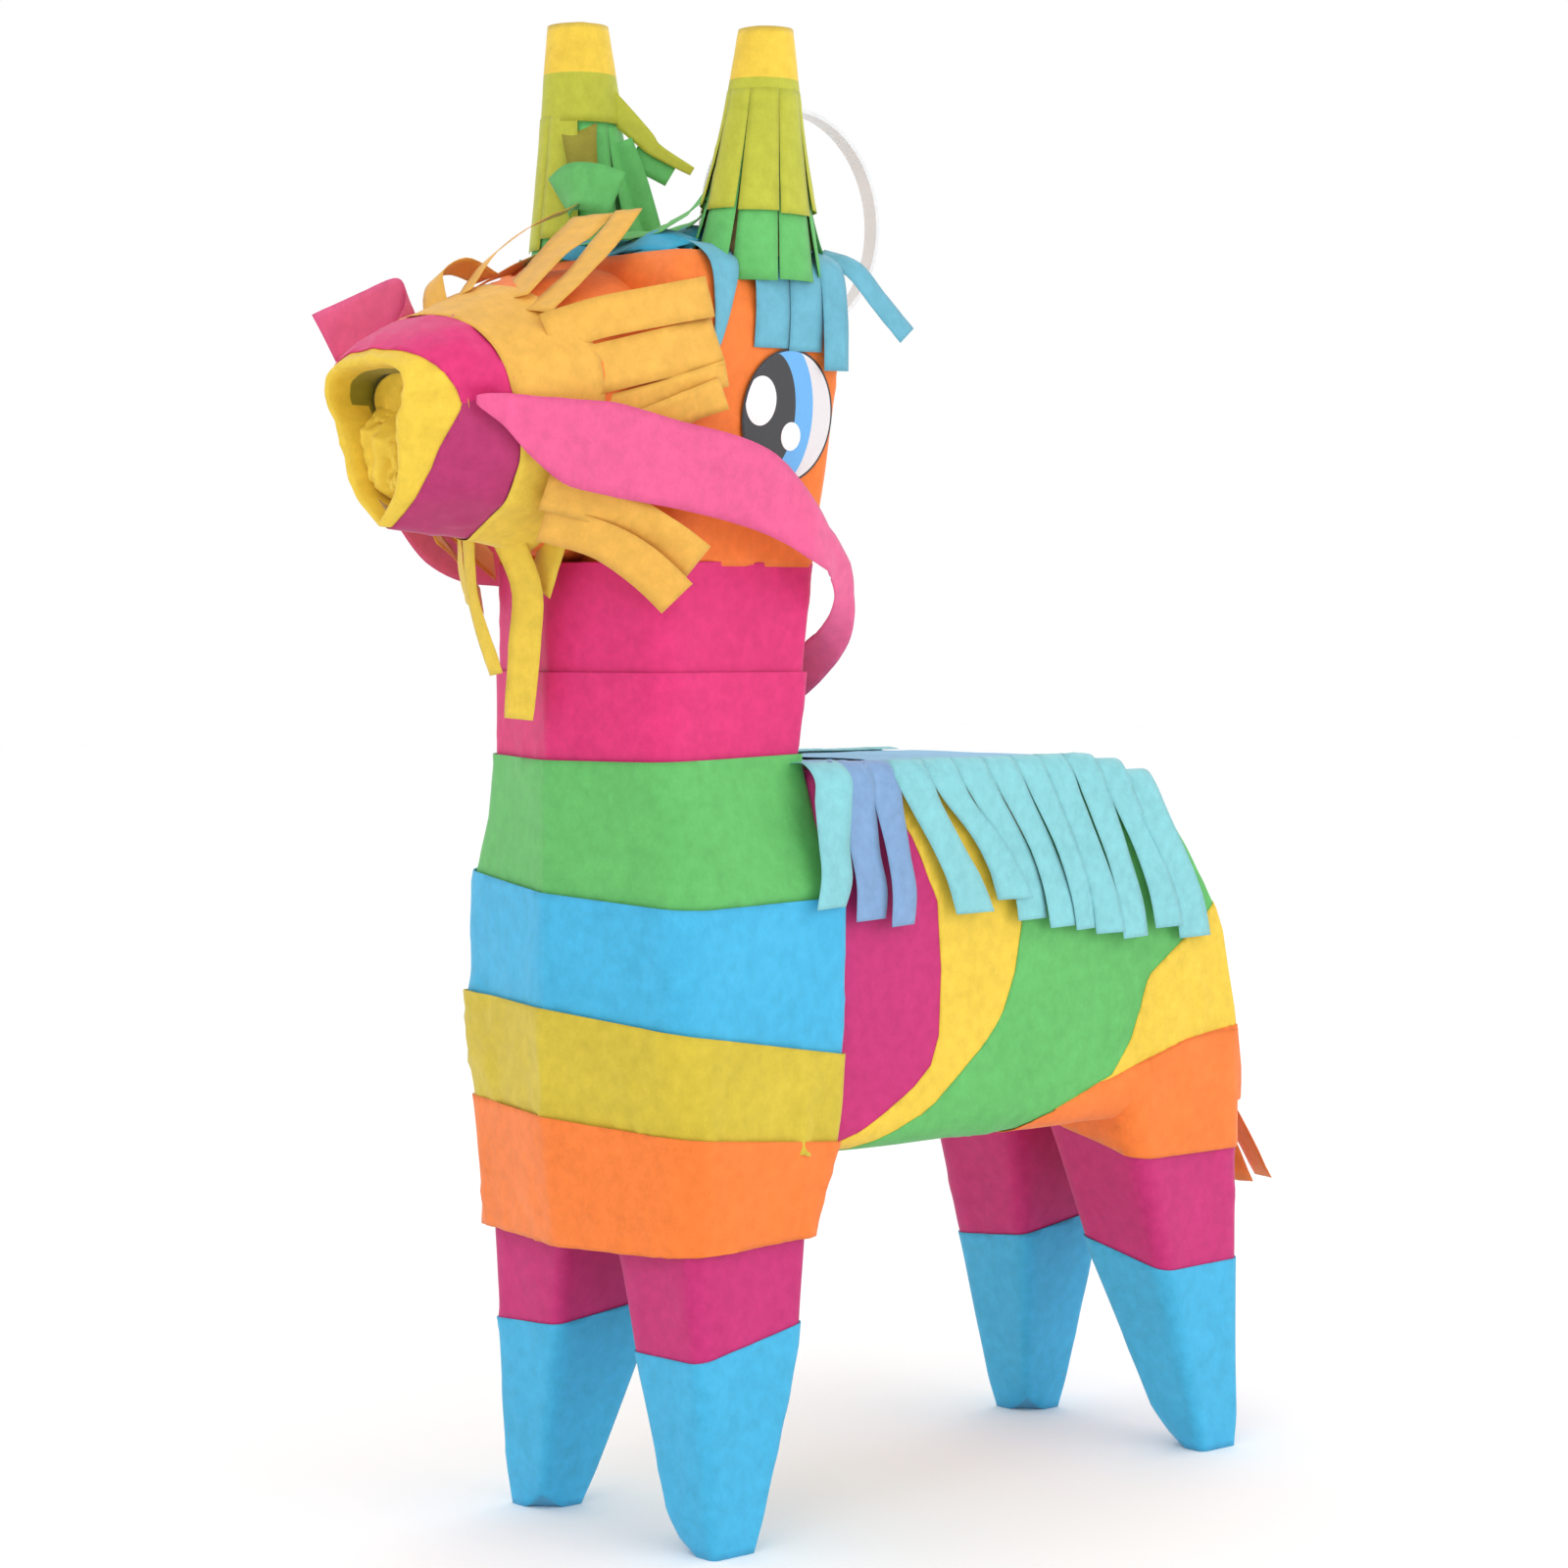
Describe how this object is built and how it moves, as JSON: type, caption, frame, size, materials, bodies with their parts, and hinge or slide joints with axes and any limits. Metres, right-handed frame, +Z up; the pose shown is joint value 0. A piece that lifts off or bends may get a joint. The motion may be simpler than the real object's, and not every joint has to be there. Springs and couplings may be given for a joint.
{
  "type": "pinata",
  "caption": "Small hollow cardboard donkey pinata wrapped in bands of tissue paper, with a fill flap in its back and a nylon hanging loop.",
  "frame": {"origin": "centre of the bounding box, at the level of the feet", "axes": "+Z up, -Y the way the animal faces, +X the animal's own left side"},
  "size_m": [0.1096, 0.3012, 0.3978],
  "materials": {
    "board": "raw kraft corrugated board",
    "tissue_pink": "wrapped tissue, satin, lightly wrinkled",
    "tissue_magenta": "wrapped tissue, satin, lightly wrinkled",
    "tissue_green": "wrapped tissue, satin, lightly wrinkled",
    "tissue_blue": "wrapped tissue, satin, lightly wrinkled",
    "tissue_mustard": "wrapped tissue, satin, lightly wrinkled",
    "tissue_yellow": "cut tissue strips, matt and slightly see-through",
    "tissue_orange": "wrapped tissue, satin, lightly wrinkled",
    "tissue_aqua": "cut tissue strips, matt and slightly see-through",
    "tissue_pale_blue": "laid tissue sheet, matt",
    "ribbon_pink": "single tissue ribbon, slightly see-through",
    "nylon": "natural nylon, slightly see-through",
    "sticker": "printed gloss sticker"
  },
  "bodies": {
    "shell": {"chest_tube": "board", "neck_tube": "board", "chest_floor": "board", "flank_left": "board", "flank_right": "board", "back_panel": "board", "belly_panel": "board", "rump_panel": "board", "head_shell": "board", "snout_tube": "board", "ear_cone_left": "board", "ear_cone_right": "board", "leg_front_left": "board", "leg_front_right": "board", "leg_rear_left": "board", "leg_rear_right": "board", "neck_wrap_upper": "tissue_pink", "neck_wrap_lower": "tissue_pink", "muzzle_wrap_pink": "tissue_pink", "leg_wrap_front_left": "tissue_magenta", "leg_wrap_front_right": "tissue_magenta", "leg_wrap_rear_left": "tissue_magenta", "leg_wrap_rear_right": "tissue_magenta", "barrel_wrap_pink": "tissue_magenta", "chest_wrap_green": "tissue_green", "barrel_wrap_green": "tissue_green", "ear_green_left": "tissue_green", "ear_green_right": "tissue_green", "crown_tissue": "tissue_green", "chest_wrap_blue": "tissue_blue", "foot_wrap_front_left": "tissue_blue", "foot_wrap_front_right": "tissue_blue", "foot_wrap_rear_left": "tissue_blue", "foot_wrap_rear_right": "tissue_blue", "ear_blue_left": "tissue_blue", "ear_blue_right": "tissue_blue", "chest_wrap_yellow": "tissue_mustard", "rump_wrap_yellow": "tissue_mustard", "barrel_wrap_yellow": "tissue_mustard", "snout_wrap": "tissue_yellow", "muzzle_wrap_yellow": "tissue_yellow", "muzzle_tissue": "tissue_yellow", "face_fringe": "tissue_yellow", "chin_fringe": "tissue_yellow", "ear_yellow_left": "tissue_yellow", "ear_yellow_right": "tissue_yellow", "chest_wrap_orange": "tissue_orange", "rump_wrap_orange": "tissue_orange", "head_wrap": "tissue_orange", "tail_strips": "tissue_orange", "back_fringe_left": "tissue_aqua", "back_fringe_right": "tissue_aqua", "back_sheet": "tissue_pale_blue", "reins": "ribbon_pink", "eye_left": "sticker", "eye_right": "sticker"},
    "flap": {"fill_flap": "board", "flap_sheet": "tissue_pale_blue"},
    "hanging_loop": {"hanging_tie": "nylon"}
  },
  "joints": [
    {"name": "flap_hinge", "type": "hinge", "parent": "shell", "child": "flap", "pos_m": [0, 0.0305, 0.2038], "axis": [-1, 0, 0], "range_deg": [0, 110]},
    {"name": "tie_swing", "type": "hinge", "parent": "shell", "child": "hanging_loop", "pos_m": [0, -0.039, 0.3285], "axis": [1, 0, 0], "range_deg": [-35, 40]}
  ]
}
